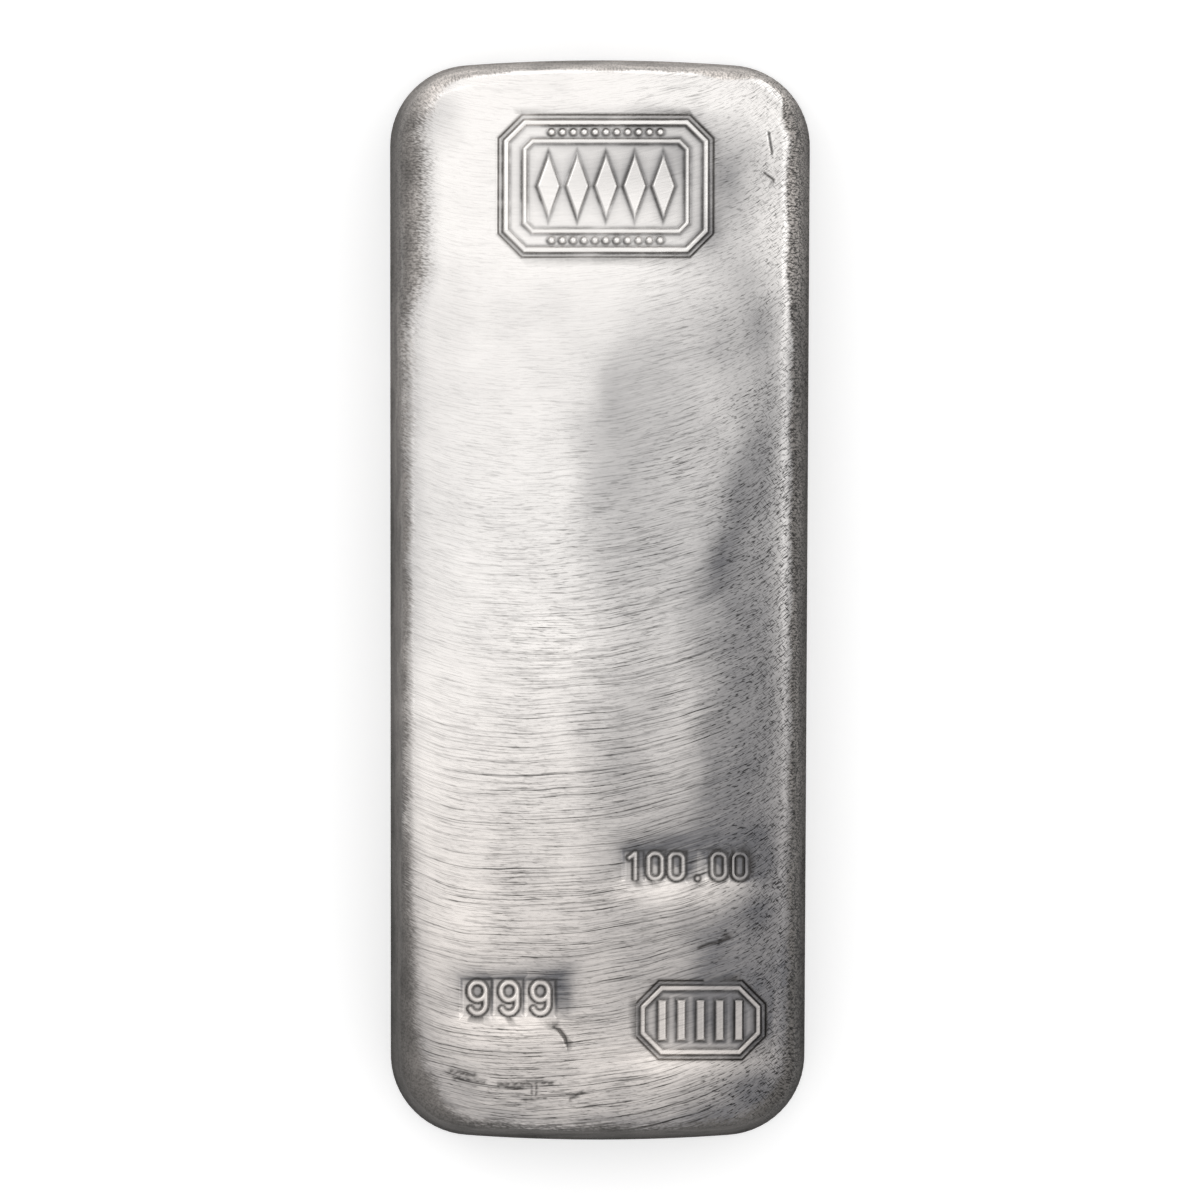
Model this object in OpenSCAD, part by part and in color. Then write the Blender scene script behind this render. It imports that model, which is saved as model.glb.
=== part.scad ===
// Poured silver ingot: one drafted casting with bowed ends, rounded corners and two stamped panels.
// It rests on its pour face at z = 0, its length lies along Y, and the stamped face looks up.

/* [Bar] */
// Overall length, over the bowed ends
bar_length = 180; // [150:1:220]
// Width across the wide end
wide_end_width = 70; // [60:0.5:90]
// Width across the narrow end
narrow_end_width = 69; // [60:0.5:90]
// Distance of the narrow end's centre from the bar's long axis
narrow_end_offset = -0.4; // [-1.5:0.1:1.5]
// Thickness from the pour face to the stamped face
bar_thickness = 25.2; // [18:0.1:40]
// Radius of the corners, seen from above
corner_radius = 13.5; // [11:0.5:18]
// Radius that the bowed ends are struck to
end_bow_radius = 300; // [200:10:600]
// Lean of the sides from upright, in degrees
draft_angle = 5; // [2:0.5:8]
// Rounding between the stamped face and the sides
face_edge_radius = 3; // [1.5:0.25:4.5]
// Rounding between the pour face and the sides
foot_edge_radius = 1; // [0.5:0.25:2]

/* [Large stamp] */
// Width of the large panel, across the bar
large_panel_width = 36; // [26:0.5:42]
// Height of the large panel, along the bar
large_panel_height = 24; // [18:0.5:28]
// Distance of its centre from the wide end
large_panel_setback = 21.5; // [20:0.5:40]
// Distance of its centre from the bar's long axis
large_panel_offset = 1; // [-5:0.5:5]
// Gap between its wall and its inner frame
inner_frame_inset = 4.2; // [3:0.1:5]
// Width of its inner frame
inner_frame_width = 0.7; // [0.4:0.1:1.2]
// Lozenges in the row inside the inner frame
lozenge_count = 5; // [3:1:7]

/* [Small stamp] */
// Width of the small panel, across the bar
small_panel_width = 22; // [16:0.5:24]
// Height of the small panel, along the bar
small_panel_height = 13.5; // [11:0.5:18]
// Distance of its centre from the narrow end
small_panel_setback = 20.5; // [15:0.5:40]
// Distance of its centre from the bar's long axis
small_panel_offset = 17; // [-17:0.5:17]
// Upright reeds in its field
reed_count = 5; // [3:1:7]

/* [Striking] */
// Depth that both panels are struck to
stamp_depth = 0.6; // [0.3:0.1:1.2]
// Cut across each corner of a panel
panel_corner_cut = 4; // [3:0.25:5]
// Gap between a panel's wall and its raised frame
frame_inset = 1; // [0.5:0.1:1.5]
// Width of the raised frame
frame_width = 0.9; // [0.5:0.1:1.5]

/* [Hidden] */
// Facets in a full turn of a corner, steps in an edge rounding, and posts along a bowed end
corner_facets = 64;
edge_steps = 10;
bow_posts = 9;
// Overrun of each cut past the face that it opens
cut_overrun = 1;
// The row of lozenges as a share of its panel's width, a lozenge's width as a share of its pitch,
// and its height as a share of the panel's height
lozenge_row_share = 0.66;
lozenge_width_share = 0.8;
lozenge_height_share = 0.44;
// The same shares for the row of reeds
reed_row_share = 0.72;
reed_width_share = 0.45;
reed_height_share = 0.5;
// How far a corner cut shrinks for each unit of inset, so that an inset outline keeps an even wall
corner_inset_share = 2 - sqrt(2);

function direction(angle) = [cos(angle), sin(angle)];
function arc(centre, radius, from, to) =
    [for (i = [0 : edge_steps]) centre + radius * direction(from + (to - from) * i / edge_steps)];

// Edge section, measured outward from a corner's upright axis
foot_centre = [corner_radius - foot_edge_radius, foot_edge_radius];
side_normal = direction(draft_angle);
side_distance = foot_centre * side_normal + foot_edge_radius;
face_centre_z = bar_thickness - face_edge_radius;
face_centre_x = (side_distance - face_edge_radius - face_centre_z * side_normal.y) / side_normal.x;
face_centre = [face_centre_x, face_centre_z];

// Plan: the corner axes of each end lie on an arc that is struck one corner radius inside the bow
axis_bow_radius = end_bow_radius - corner_radius;
bow_centre_y = bar_length / 2 - end_bow_radius;

function bow_half_angle(width) = asin((width / 2 - corner_radius) / axis_bow_radius);
function bow_axes(width) =
    [for (i = [0 : bow_posts - 1])
        let (half = bow_half_angle(width), angle = half * (2 * i / (bow_posts - 1) - 1))
        [axis_bow_radius * sin(angle), bow_centre_y + axis_bow_radius * cos(angle)]];

// Round post with the bar's edge section: drafted wall, rounded foot and rounded face edge.
module post() {
    rotate_extrude($fn = corner_facets) polygon(concat(
        [[0, 0]],
        arc(foot_centre, foot_edge_radius, -90, 0),
        [foot_centre + foot_edge_radius * side_normal],
        arc(face_centre, face_edge_radius, draft_angle, 90),
        [[0, bar_thickness]]
    ));
}

// The convex casting: posts along both bowed ends, with the sides and faces drawn taut between them.
module bar() {
    hull() {
        for (axis = bow_axes(wide_end_width)) translate(axis) post();
        translate([narrow_end_offset, 0]) mirror([0, 1, 0])
            for (axis = bow_axes(narrow_end_width)) translate(axis) post();
    }
}

// Rectangle with its corners cut at 45 degrees, drawn in from its wall by an even inset.
module panel_outline(width, height, inset = 0) {
    x = width / 2 - inset;
    y = height / 2 - inset;
    cut = panel_corner_cut - corner_inset_share * inset;
    polygon([
        [x - cut, y], [cut - x, y], [-x, y - cut], [-x, cut - y],
        [cut - x, -y], [x - cut, -y], [x, cut - y], [x, y - cut],
    ]);
}

// Raised band of even width that runs round a panel at the given inset from its wall.
module panel_frame(width, height, inset, band) {
    difference() {
        panel_outline(width, height, inset);
        panel_outline(width, height, inset + band);
    }
}

// Places its child count times in an even row of the given length.
module row_of(count, row_length) {
    pitch = row_length / count;
    for (i = [0 : count - 1]) translate([(i - (count - 1) / 2) * pitch, 0]) children();
}

// Motif of the large panel: a row of lozenges in an inner frame.
module framed_lozenges() {
    panel_frame(large_panel_width, large_panel_height, inner_frame_inset, inner_frame_width);
    row = lozenge_row_share * large_panel_width;
    half_x = lozenge_width_share * row / lozenge_count / 2;
    half_y = lozenge_height_share * large_panel_height / 2;
    row_of(lozenge_count, row) polygon([[half_x, 0], [0, half_y], [-half_x, 0], [0, -half_y]]);
}

// Motif of the small panel: a row of upright reeds.
module reed_row() {
    row = reed_row_share * small_panel_width;
    reed = [reed_width_share * row / reed_count, reed_height_share * small_panel_height];
    row_of(reed_count, row) square(reed, center = true);
}

// The hollow that a die leaves: a panel's field, sunk around its frame and its raised motif.
module struck_hollow(width, height) {
    translate([0, 0, bar_thickness - stamp_depth]) linear_extrude(stamp_depth + cut_overrun) difference() {
        panel_outline(width, height);
        panel_frame(width, height, frame_inset, frame_width);
        children();
    }
}

module ingot() {
    color("silver") difference() {
        bar();
        translate([large_panel_offset, bar_length / 2 - large_panel_setback])
            struck_hollow(large_panel_width, large_panel_height) framed_lozenges();
        translate([small_panel_offset, small_panel_setback - bar_length / 2])
            struck_hollow(small_panel_width, small_panel_height) reed_row();
    }
}

ingot();
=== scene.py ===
"""Looks of a poured silver ingot: one cast bar with brushed face, dull cast sides and struck marks."""

import functools
import math
from typing import NamedTuple

import bmesh
import bpy
import numpy as np
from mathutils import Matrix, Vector


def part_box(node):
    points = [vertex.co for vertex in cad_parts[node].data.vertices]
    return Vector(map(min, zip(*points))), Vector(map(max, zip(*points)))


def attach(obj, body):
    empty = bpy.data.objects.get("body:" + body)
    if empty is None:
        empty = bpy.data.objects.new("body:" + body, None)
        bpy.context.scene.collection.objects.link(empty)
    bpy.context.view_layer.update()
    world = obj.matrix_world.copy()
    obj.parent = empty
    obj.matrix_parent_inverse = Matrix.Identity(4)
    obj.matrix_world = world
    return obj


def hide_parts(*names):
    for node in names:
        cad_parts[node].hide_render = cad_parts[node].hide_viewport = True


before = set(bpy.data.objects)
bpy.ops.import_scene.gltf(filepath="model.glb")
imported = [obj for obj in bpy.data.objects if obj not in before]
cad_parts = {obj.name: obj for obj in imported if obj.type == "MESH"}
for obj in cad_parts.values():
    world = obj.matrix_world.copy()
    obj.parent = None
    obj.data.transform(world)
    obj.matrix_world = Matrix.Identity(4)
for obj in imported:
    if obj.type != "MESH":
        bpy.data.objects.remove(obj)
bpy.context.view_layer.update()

PIECE = "cast_ingot"

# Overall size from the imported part. Lengths are in millimetres up to the finished mesh, with +Y towards the wide end.
MM = 0.001
low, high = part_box("ingot")
LENGTH = (high.y - low.y) / MM
WIDTH = (high.x - low.x) / MM
THICKNESS = (high.z - low.z) / MM

# Plan and edge section of the casting
NARROW_END_WIDTH = 69.0
NARROW_END_SHIFT = 0.4
CORNER_RADIUS = 13.5
END_BOW_RADIUS = 300.0
DRAFT = math.radians(5.0)
FOOT_RADIUS = 1.0
FACE_EDGE_RADIUS = 2.8

# Mesh: size of a plain cell, how finely a struck zone is cut, and rows in each part of the edge section
CELL = 1.4
ZONE_CUTS = 6
FOOT_ROWS = 4
SIDE_ROWS = 14
EDGE_ROWS = 10
RIM_ROWS = 5
# The rim's last ring lies this far outside the centres of the corners
RIM_STOP = 3.0
PLAN_ARC_POINTS = 200
# A vertex no further than this below the top is on the flat of the face
FACE_TOLERANCE = 1e-3
# The face's own height is felt down to this far below the top
LIFT_REACH = 9.0
# The lumps of a side grow to full height over this share of it, from the foot up
LUMP_START = 0.15

# Crown of the face, which falls away towards the long sides and the ends, and metal pushed up round the panels
CROWN_ACROSS = 0.6
CROWN_ALONG = 0.25
PUSHED_UP = 0.1

# Unevenness: rows of wavelength, height and seed
EDGE_RIPPLES = [(16, 0.2, 3), (5, 0.12, 4)]
SKIN_RIPPLES = [(9, 0.25, 5)]
SIDE_RIPPLES = [(22, 0.12, 11), (6, 0.05, 12)]
FACE_RIPPLES = [(34, 0.05, 21), (13, 0.018, 22)]
TARNISH_RIPPLES = [(30, 1.0, 31), (11, 0.5, 32)]
WORN_RIPPLES = [(9, 0.25, 41), (2.5, 0.15, 42)]
SCUFF_RIPPLES = [(0.9, 1.0, 51)]

# Places where the edge round the face is worn to a larger radius, or is sharper where below 0: centre, radii, change
WORN_EDGES = [
    ((-30, -84), (16, 18), 2.0),
    ((31, -84), (14, 18), 1.4),
    ((-33, 80), (12, 14), 0.7),
    ((0, 90), (40, 8), -0.6),
]

# Dull cast skin: how far it reaches in from the outline and over what width it fades, and the places where it
# reaches further in, or less far where below 0: centre, radii, change
SKIN_REACH = 3.2
SKIN_FADE = 1.6
SKIN_REACHES = [
    ((-31, -84), (10, 10), 2.0),
    ((30, -84), (9, 9), 1.3),
    ((-31, 85), (8, 8), 1.9),
    ((30.5, 87), (4, 4), -1.6),
    ((23, 89), (5, 4), 0.5),
]

# Distance from the border of the cast skin at which the face is bare metal, and how fast a wall gets back under
# the skin below its rounding
BARE = 6.0
SKIN_PER_DROP = 0.6

# How fast the depth in from the outline grows with height, so that rim textures don't smear down a side
RIM_DEPTH_PER_HEIGHT = 0.12

# Depth that the hidden pour face is given, which makes it as plain and grey as skin well in from the outline
POUR_FACE_DEPTH = 9.0

# Struck panels: centre, size and how far out the metal is pushed up, then their depth and the forms inside them
LARGE_PANEL = {"centre": (1.0, 68.5), "size": (36.0, 24.0), "swell": (24, 18)}
SMALL_PANEL = {"centre": (17.0, -69.5), "size": (22.0, 13.5), "swell": (15, 11)}
STAMP_DEPTH = 0.6
PANEL_CORNER_CUT = 4.0
FRAME_INSET = 1.0
FRAME_WIDTH = 0.9
INNER_FRAME_INSET = 4.2
INNER_FRAME_WIDTH = 0.7
LOZENGE_COUNT = 5
LOZENGE_ROW_SHARE = 0.66
LOZENGE_WIDTH_SHARE = 0.8
LOZENGE_HEIGHT_SHARE = 0.44
BEAD_COUNT = 11
BEAD_PITCH = 1.8
BEAD_RADIUS = 0.52
REED_COUNT = 5
REED_ROW_SHARE = 0.72
REED_WIDTH_SHARE = 0.45
REED_HEIGHT_SHARE = 0.5

# Slopes of a panel's wall and of its raised forms, as distances from their outlines, how much of the depth those
# forms rise again, and where the dark lines along both outlines lie, with their half widths
WALL_SLOPE = (-0.1, 0.45)
RELIEF_SLOPE = (-0.3, 0.25)
RELIEF_SHARE = 0.9
RELIEF_LINE = (0.2, 0.26)
WALL_LINE = (-0.2, 0.3)

# Plain figures: each is raised in a shallow pad of its own, and pads are struck a little out of line
FINENESS = {"text": "999", "centre": (-14.7, -65.8), "height": 6.1, "pitch": 5.2, "stroke": 0.42}
WEIGHT = {"text": "100.00", "centre": (14.7, -44.0), "height": 5.0, "pitch": 3.5, "stroke": 0.34}
NUMERAL_DEPTH = 0.5
NUMERAL_RELIEF_SHARE = 0.95
NUMERAL_LINE = (0.16, 0.22)
PAD_MARGIN = 0.1
PAD_SLOPE = (-0.5, 0.6)
PAD_LINE = (-0.05, 0.3)
PAD_SHIFT = 0.2

# Half width and half height of a figure's centre lines where it is 1 high, its bowls, and how many points draw it
FIGURE_HALF = (0.22, 0.42)
ZERO_BOWL = 0.2
NINE_BOWL = 0.24
ARC_POINTS = 60
LINE_POINTS = 30

# Zones of the face that get a fine mesh, none of which overlap: low corner and high corner
FINE_ZONES = [
    ((-17.9, 55.7), (19.9, 81.3)),
    ((5.1, -77.2), (28.9, -61.8)),
    ((3.4, -47.8), (26.0, -40.4)),
    ((15.4, -59.2), (23.6, -54.6)),
    ((-23.6, -70.2), (-5.8, -61.4)),
    ((-9.0, -74.8), (-4.0, -70.2)),
    ((-25.6, -83.8), (-1.6, -77.0)),
    ((26.2, 68.6), (29.8, 78.4)),
]

# Cuts, nicks and scuffs of the face: points along each, half width and depth. Those no deeper than a scuff are
# less dark, and uneven.
SCUFF_DEPTH = 0.2
GASHES = [
    ([(-7.8, -70.4), (-6.4, -71.1), (-5.4, -72.4), (-5.0, -73.6)], 0.3, 0.5),
    ([(16.6, -57.6), (18.4, -56.9), (19.6, -56.7)], 0.22, 0.3),
    ([(19.9, -56.6), (22.4, -55.7)], 0.25, 0.4),
    ([(27.9, 77.4), (28.5, 73.8)], 0.2, 0.25),
    ([(27.2, 70.7), (28.8, 69.5)], 0.2, 0.3),
    ([(-24.4, -78.0), (-20.4, -78.6)], 0.45, 0.14),
    ([(-23.6, -79.0), (-19.0, -79.7)], 0.45, 0.12),
    ([(-16.4, -80.1), (-7.6, -79.9)], 0.38, 0.16),
    ([(-15.2, -80.7), (-12.4, -80.7)], 0.3, 0.14),
    ([(-10.9, -80.2), (-10.9, -81.9)], 0.2, 0.14),
    ([(-10.1, -80.2), (-10.2, -82.0)], 0.2, 0.14),
    ([(-12.6, -82.7), (-8.6, -82.5)], 0.22, 0.12),
    ([(-4.4, -82.6), (-2.6, -81.6)], 0.5, 0.2),
]

# Patches that are darker, or brighter where below 0, than the broad tone of the face, some of them painted light and
# shade
# round the marks and along the right edge: centre, radii, amount, and the turn of the first radius in degrees where it
# isn't across the bar
MOST_TARNISH = 0.97
TONE_PATCHES = [
    # Wide end and large panel
    ((0, 86), (27, 2.6), -0.08),
    ((-27, 81), (4, 5), 0.26),
    ((20, 84.8), (11, 3.2), -0.72),
    ((27.5, 80), (4, 6), -0.3),
    ((-6, 81.5), (10, 3.0), -0.2),
    ((1, 70.5), (13, 6), 0.36),
    ((12.4, 73.5), (2.2, 3.2), 0.25),
    # Painted shade down the right of the large panel, this row and the next
    ((18.3, 60.5), (2.8, 4.5), 0.42),
    ((21.6, 69), (3, 7), 0.44),
    ((25, 74.5), (2.5, 4), 0.18),
    # Right side, from the wide end down
    # Painted highlight on the rounding of the right edge
    ((28.5, 62), (2.6, 9), -0.2),
    ((24, 54), (3, 4), 0.17),
    ((26.5, 46.5), (3, 5), 0.2),
    ((30, 38), (2.5, 6), -0.08),
    ((26, 34), (3, 6), -0.17),
    ((21.5, 34), (4.5, 9), -0.26),
    # Painted highlight along the rounding of the right edge
    ((30.6, 15), (2, 46), -0.35),
    ((25, 11), (4, 9), -0.12),
    ((19, 5.5), (15, 3), 0.26, 70),
    # Middle
    ((2, 27), (6, 10), 0.08),
    ((13, 22.5), (5, 4), -0.1),
    ((-8, -6), (8, 5), -0.15),
    ((9, -6), (8, 9), -0.13),
    ((16, -17), (5, 9), -0.2),
    ((10, -27), (4, 6), -0.08),
    # Round the weight
    # Painted shadow above the figures, this row and the next
    ((13.5, -38), (3.5, 5), 0.1),
    ((14, -40.2), (6, 1.5), 0.28),
    ((25.5, -43), (2.6, 3), 0.2),
    ((19.5, -45), (4, 5), -0.14),
    # Painted highlight below the figures
    ((12.5, -48.7), (11, 2.2), -0.34),
    ((26.3, -51), (2.5, 3), 0.12),
    ((17, -55.5), (3.5, 2.5), 0.12),
    # Round the fineness
    ((-22, -53), (5, 5.5), -0.17),
    # Painted shade above and to the right of the figures, this row and the next
    ((-6.5, -61.5), (5, 2.2), 0.16),
    ((-5.2, -65.5), (1.2, 3.5), 0.3),
    # Painted highlight below the figures
    ((-14, -71.5), (9, 2.2), -0.28),
    ((-27, -73), (4, 4.5), 0.14),
    # Small panel and narrow end
    ((17, -68), (9, 4), -0.08),
    ((31, -69), (2.2, 12), 0.16),
    # Painted highlight below the small panel
    ((13, -76.3), (11, 3.4), -0.5),
    ((8, -83), (12, 4), -0.1),
    ((26, -81), (4.5, 3.5), 0.28),
    ((-22, -80.5), (3.5, 3.5), 0.22),
    ((-14, -84), (9, 3), 0.16),
]

# The marks' edges are bright where they look this way and dark where they look away from it
LIT_FROM = (0.6, 0.8)


class BrushMark(NamedTuple):
    """A kind of brush mark: its length along the stroke and width across it, the layer of noise that places it, and
    the levels of that noise at which a mark starts and is full."""

    length: float
    width: float
    layer: float
    start: float = 0.0
    full: float = 1.0


# Brush strokes run along arcs that are all alike and shifted along the bar. They steepen beyond the two edges.
BRUSH_AXIS_X = -12.0
BRUSH_RADIUS = 85.0
BRUSH_EDGES = (-20.0, 16.0)
BRUSH_STEEPENING = 0.01
BRUSH_WANDER = 2.0
BRUSH_WANDER_SCALE = 0.05
# Each line starts this share of its length beyond its neighbour, so that no ends stand in a row
STAGGER = 0.4

GRAIN = BrushMark(7.0, 0.5, 1.0)
LONG_LINE = BrushMark(45.0, 0.34, 17.0, 0.54, 0.66)
BREAK = BrushMark(8.0, 1.0, 19.0, 0.35, 0.55)
DASH = BrushMark(6.0, 0.3, 9.0, 0.57, 0.66)
FINE_DASH = BrushMark(2.4, 0.26, 11.0, 0.56, 0.65)
SPECK = BrushMark(0.9, 0.28, 13.0, 0.56, 0.66)
BORDER_SPECK = BrushMark(0.9, 0.28, 29.0)
# A groove's width is the pitch of the grooves, its line takes up a share of that on each side, and it drifts by
# noise of these scales along and across the strokes
GROOVE = BrushMark(16.0, 1.2, 37.0, 0.42, 0.6)
GROOVE_LINE = 0.14
GROOVE_DRIFT = (0.04, 0.3)
# Hatching runs up and down at one slope, each way in a layer of its own
HATCH_UP = BrushMark(1.6, 0.3, 21.0, 0.58, 0.7)
HATCH_DOWN = HATCH_UP._replace(layer=25.0)
HATCH_SLOPE = 1.1

# Shares of the brush marks in the darkness of the strokes, and how dark a stroke gets
LONG_LINE_SHARE = 0.8
DASH_SHARE = 0.6
HATCH_SHARE = 0.85
STROKE_DARKNESS = 0.92
DARKEST_STROKE = 0.85

# Scales of the surfaces' noise, in turns per millimetre, and the layer of the patches
PATCH_SCALE = 0.11
PATCH_LAYER = 3.0
BLOTCH_SCALE = 0.16
SKIN_GRAIN_SCALE = 2.6
SCRATCH_SCALE = (3.4, 3.4, 1.4)

# Colours, as a tint and the levels that it is used at
FACE_TINT = (1.0, 0.968, 0.94)
WARM_TINT = (1.0, 0.93, 0.875)
# The face's tarnish colour, which its painted shade darkens towards too.
TARNISH_AND_SHADE_TINT = (0.985, 0.975, 1.03)
FACE_LEVEL = 0.983
WARM_LEVEL = 0.96
TARNISH_AND_SHADE_LEVEL = 0.16
OXIDE_LEVEL = 0.04
# Level of the cast skin at the foot and at the face's edge, and what is added further in: the skin's dull colour
# darkened by painted shade of walls that lean away from the light, darkest at the foot
SHADED_FOOT_LEVEL = 0.08
SHADED_EDGE_LEVEL = 0.15
INNER_LEVEL = 0.11

# Roughness of bare silver, and what is added by tarnish, cast skin, a wall and a stroke
SILVER_ROUGHNESS = 0.22
TARNISH_ROUGHNESS = 0.12
SKIN_ROUGHNESS = 0.28
WALL_ROUGHNESS = 0.35
STROKE_ROUGHNESS = 0.2
# How much less metallic the cast skin is, and the level of its plain gloss
SKIN_METAL_LOSS = 0.5
SPECULAR_LEVEL = 0.25

# Heights of the fine relief that the material adds
GRAIN_HEIGHT = 0.016
STROKE_HEIGHT = 0.012
SCRATCH_HEIGHT = 0.05

# Stage: lengths in metres, the floor's grey, and the glow that the camera and the metal see on it
FLOOR_REACH = 3.0
FLOOR_GREY = 0.9
FLOOR_GLOW = 0.32
CAMERA_DISTANCE = 3.0
PICTURE_WIDTH = 0.2002


def smooth(value, start, end):
    """0 before start, 1 after end, and an easy curve between them."""
    t = np.clip((value - start) / (end - start), 0, 1)
    return t * t * (3 - 2 * t)


def bell(value, centre, width):
    """1 at the centre, falling off to both sides."""
    return np.exp(-(((value - centre) / width) ** 2))


def bump(x, y, centre, radii, angle=0.0):
    """A soft mound of height 1: a Gaussian with the given radii, turned by angle degrees."""
    turn = math.radians(angle)
    dx, dy = x - centre[0], y - centre[1]
    along = (dx * math.cos(turn) + dy * math.sin(turn)) / radii[0]
    across = (dy * math.cos(turn) - dx * math.sin(turn)) / radii[1]
    return np.exp(-(along**2 + across**2))


def mounds(x, y, rows):
    """Sum of soft mounds, each given by its centre, radii, height and, where it is turned, angle."""
    return sum(height * bump(x, y, centre, radii, *turn) for centre, radii, height, *turn in rows)


def waves(points, wavelength, seed, count=7):
    """Smooth noise of about -1 to 1: plane waves of seeded directions and phases."""
    random = np.random.default_rng(seed)
    total = 0.0
    for _ in range(count):
        direction = random.normal(size=points.shape[1])
        direction *= 2 * math.pi / (wavelength * random.uniform(0.7, 1.4) * np.linalg.norm(direction))
        total = total + np.sin(points @ direction + random.uniform(0, 2 * math.pi))
    return total / math.sqrt(count)


def ripples(points, rows):
    """Sum of waves, each given by its wavelength, height and seed."""
    return sum(height * waves(points, wavelength, seed) for wavelength, height, seed in rows)


# Plan


def plan_runs():
    """The outline as four runs, each from the middle of one corner to the middle of the next."""
    axis_bow = END_BOW_RADIUS - CORNER_RADIUS
    bow_centre = LENGTH / 2 - END_BOW_RADIUS

    def end(width):
        half = math.asin((width / 2 - CORNER_RADIUS) / axis_bow)
        return half, (axis_bow * math.sin(half), bow_centre + axis_bow * math.cos(half))

    wide_half, wide = end(WIDTH)
    narrow_half, narrow = end(NARROW_END_WIDTH)
    lean = math.atan2(wide[0] - narrow[0], wide[1] + narrow[1])
    quarter, turn = math.pi / 4, math.pi / 2

    def arc(centre, radius, start, stop):
        angles = np.linspace(start, stop, PLAN_ARC_POINTS)
        normals = np.stack([np.cos(angles), np.sin(angles)], 1)
        return np.array(centre) + radius * normals, normals

    lower_left, lower_right = (-narrow[0], -narrow[1]), (narrow[0], -narrow[1])
    upper_left, upper_right = (-wide[0], wide[1]), wide
    r = CORNER_RADIUS
    runs = [
        [
            arc(lower_left, r, 5 * quarter, 3 * turn - narrow_half),
            arc((0, -bow_centre), END_BOW_RADIUS, 3 * turn - narrow_half, 3 * turn + narrow_half),
            arc(lower_right, r, 3 * turn + narrow_half, 7 * quarter),
        ],
        [
            arc(lower_right, r, -quarter, -lean),
            arc(upper_right, r, -lean, quarter),
        ],
        [
            arc(upper_right, r, quarter, turn - wide_half),
            arc((0, bow_centre), END_BOW_RADIUS, turn - wide_half, turn + wide_half),
            arc(upper_left, r, turn + wide_half, 3 * quarter),
        ],
        [
            arc(upper_left, r, 3 * quarter, math.pi + lean),
            arc(lower_left, r, math.pi + lean, 5 * quarter),
        ],
    ]
    return [tuple(np.concatenate(part) for part in zip(*run)) for run in runs]


def even_outline():
    """Outline points and outward normals at even steps, and how many steps cross and follow the bar."""
    points, normals, steps = [], [], []
    for run_points, run_normals in plan_runs():
        reach = np.concatenate([[0], np.cumsum(np.linalg.norm(np.diff(run_points, axis=0), axis=1))])
        count = steps[-2] if len(steps) > 1 else round(reach[-1] / CELL)
        at = np.linspace(0, reach[-1], count + 1)[:-1]
        steps.append(count)
        points.append(np.stack([np.interp(at, reach, run_points[:, k]) for k in (0, 1)], 1))
        normal = np.stack([np.interp(at, reach, run_normals[:, k]) for k in (0, 1)], 1)
        normals.append(normal / np.linalg.norm(normal, axis=1, keepdims=True))
    return np.concatenate(points), np.concatenate(normals), steps[0], steps[1]


def edge_radius(points):
    """Rounding between face and side: small at the wide end, worn large at the narrow end's corners."""
    x, y = points.T
    radius = FACE_EDGE_RADIUS + 0.7 * smooth(-y, 10, 80) + 0.6 * smooth(x, 20, 34) * smooth(y, -40, 20)
    return radius + mounds(x, y, WORN_EDGES) + ripples(points, EDGE_RIPPLES)


def skin_band(points):
    """Dull cast skin: how far it reaches in from the outline, over what width it fades, and its tone."""
    x, y = points.T
    left, right = smooth(-x, 24, 33), smooth(x, 24, 33)
    wide_end, narrow_end = smooth(y, 80, 88), smooth(-y, 80, 88)
    upper = smooth(y, 42, 58)

    reach = SKIN_REACH - 1.0 * wide_end - 0.4 * narrow_end + 0.3 * wide_end * smooth(x, 4, 14)
    reach += left * (0.2 + 2.9 * upper * (1 - smooth(y, 70, 86)) + 1.1 * smooth(-y, 35, 65))
    reach += right * (0.8 * upper * (1 - wide_end) - 0.2 * (1 - upper))
    reach += mounds(x, y, SKIN_REACHES) + ripples(points, SKIN_RIPPLES)

    fade = SKIN_FADE + left * (1.8 * smooth(y, 16, 30) + 0.7 * smooth(-y, 0, 30))
    fade += 0.5 * narrow_end - 1.1 * wide_end * (1 - 0.7 * left) - 0.6 * right * smooth(y, -45, -25)

    tone = 1 + left * (0.55 * bell(y, 35, 16) + 0.45 * bell(y, -15, 12) + 0.05 * upper)
    tone += right * (0.6 * upper - 0.1)
    tone += 2.6 * wide_end - 0.34 * smooth(-y, 25, 75) - 0.06 * narrow_end
    return reach, fade, tone


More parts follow.
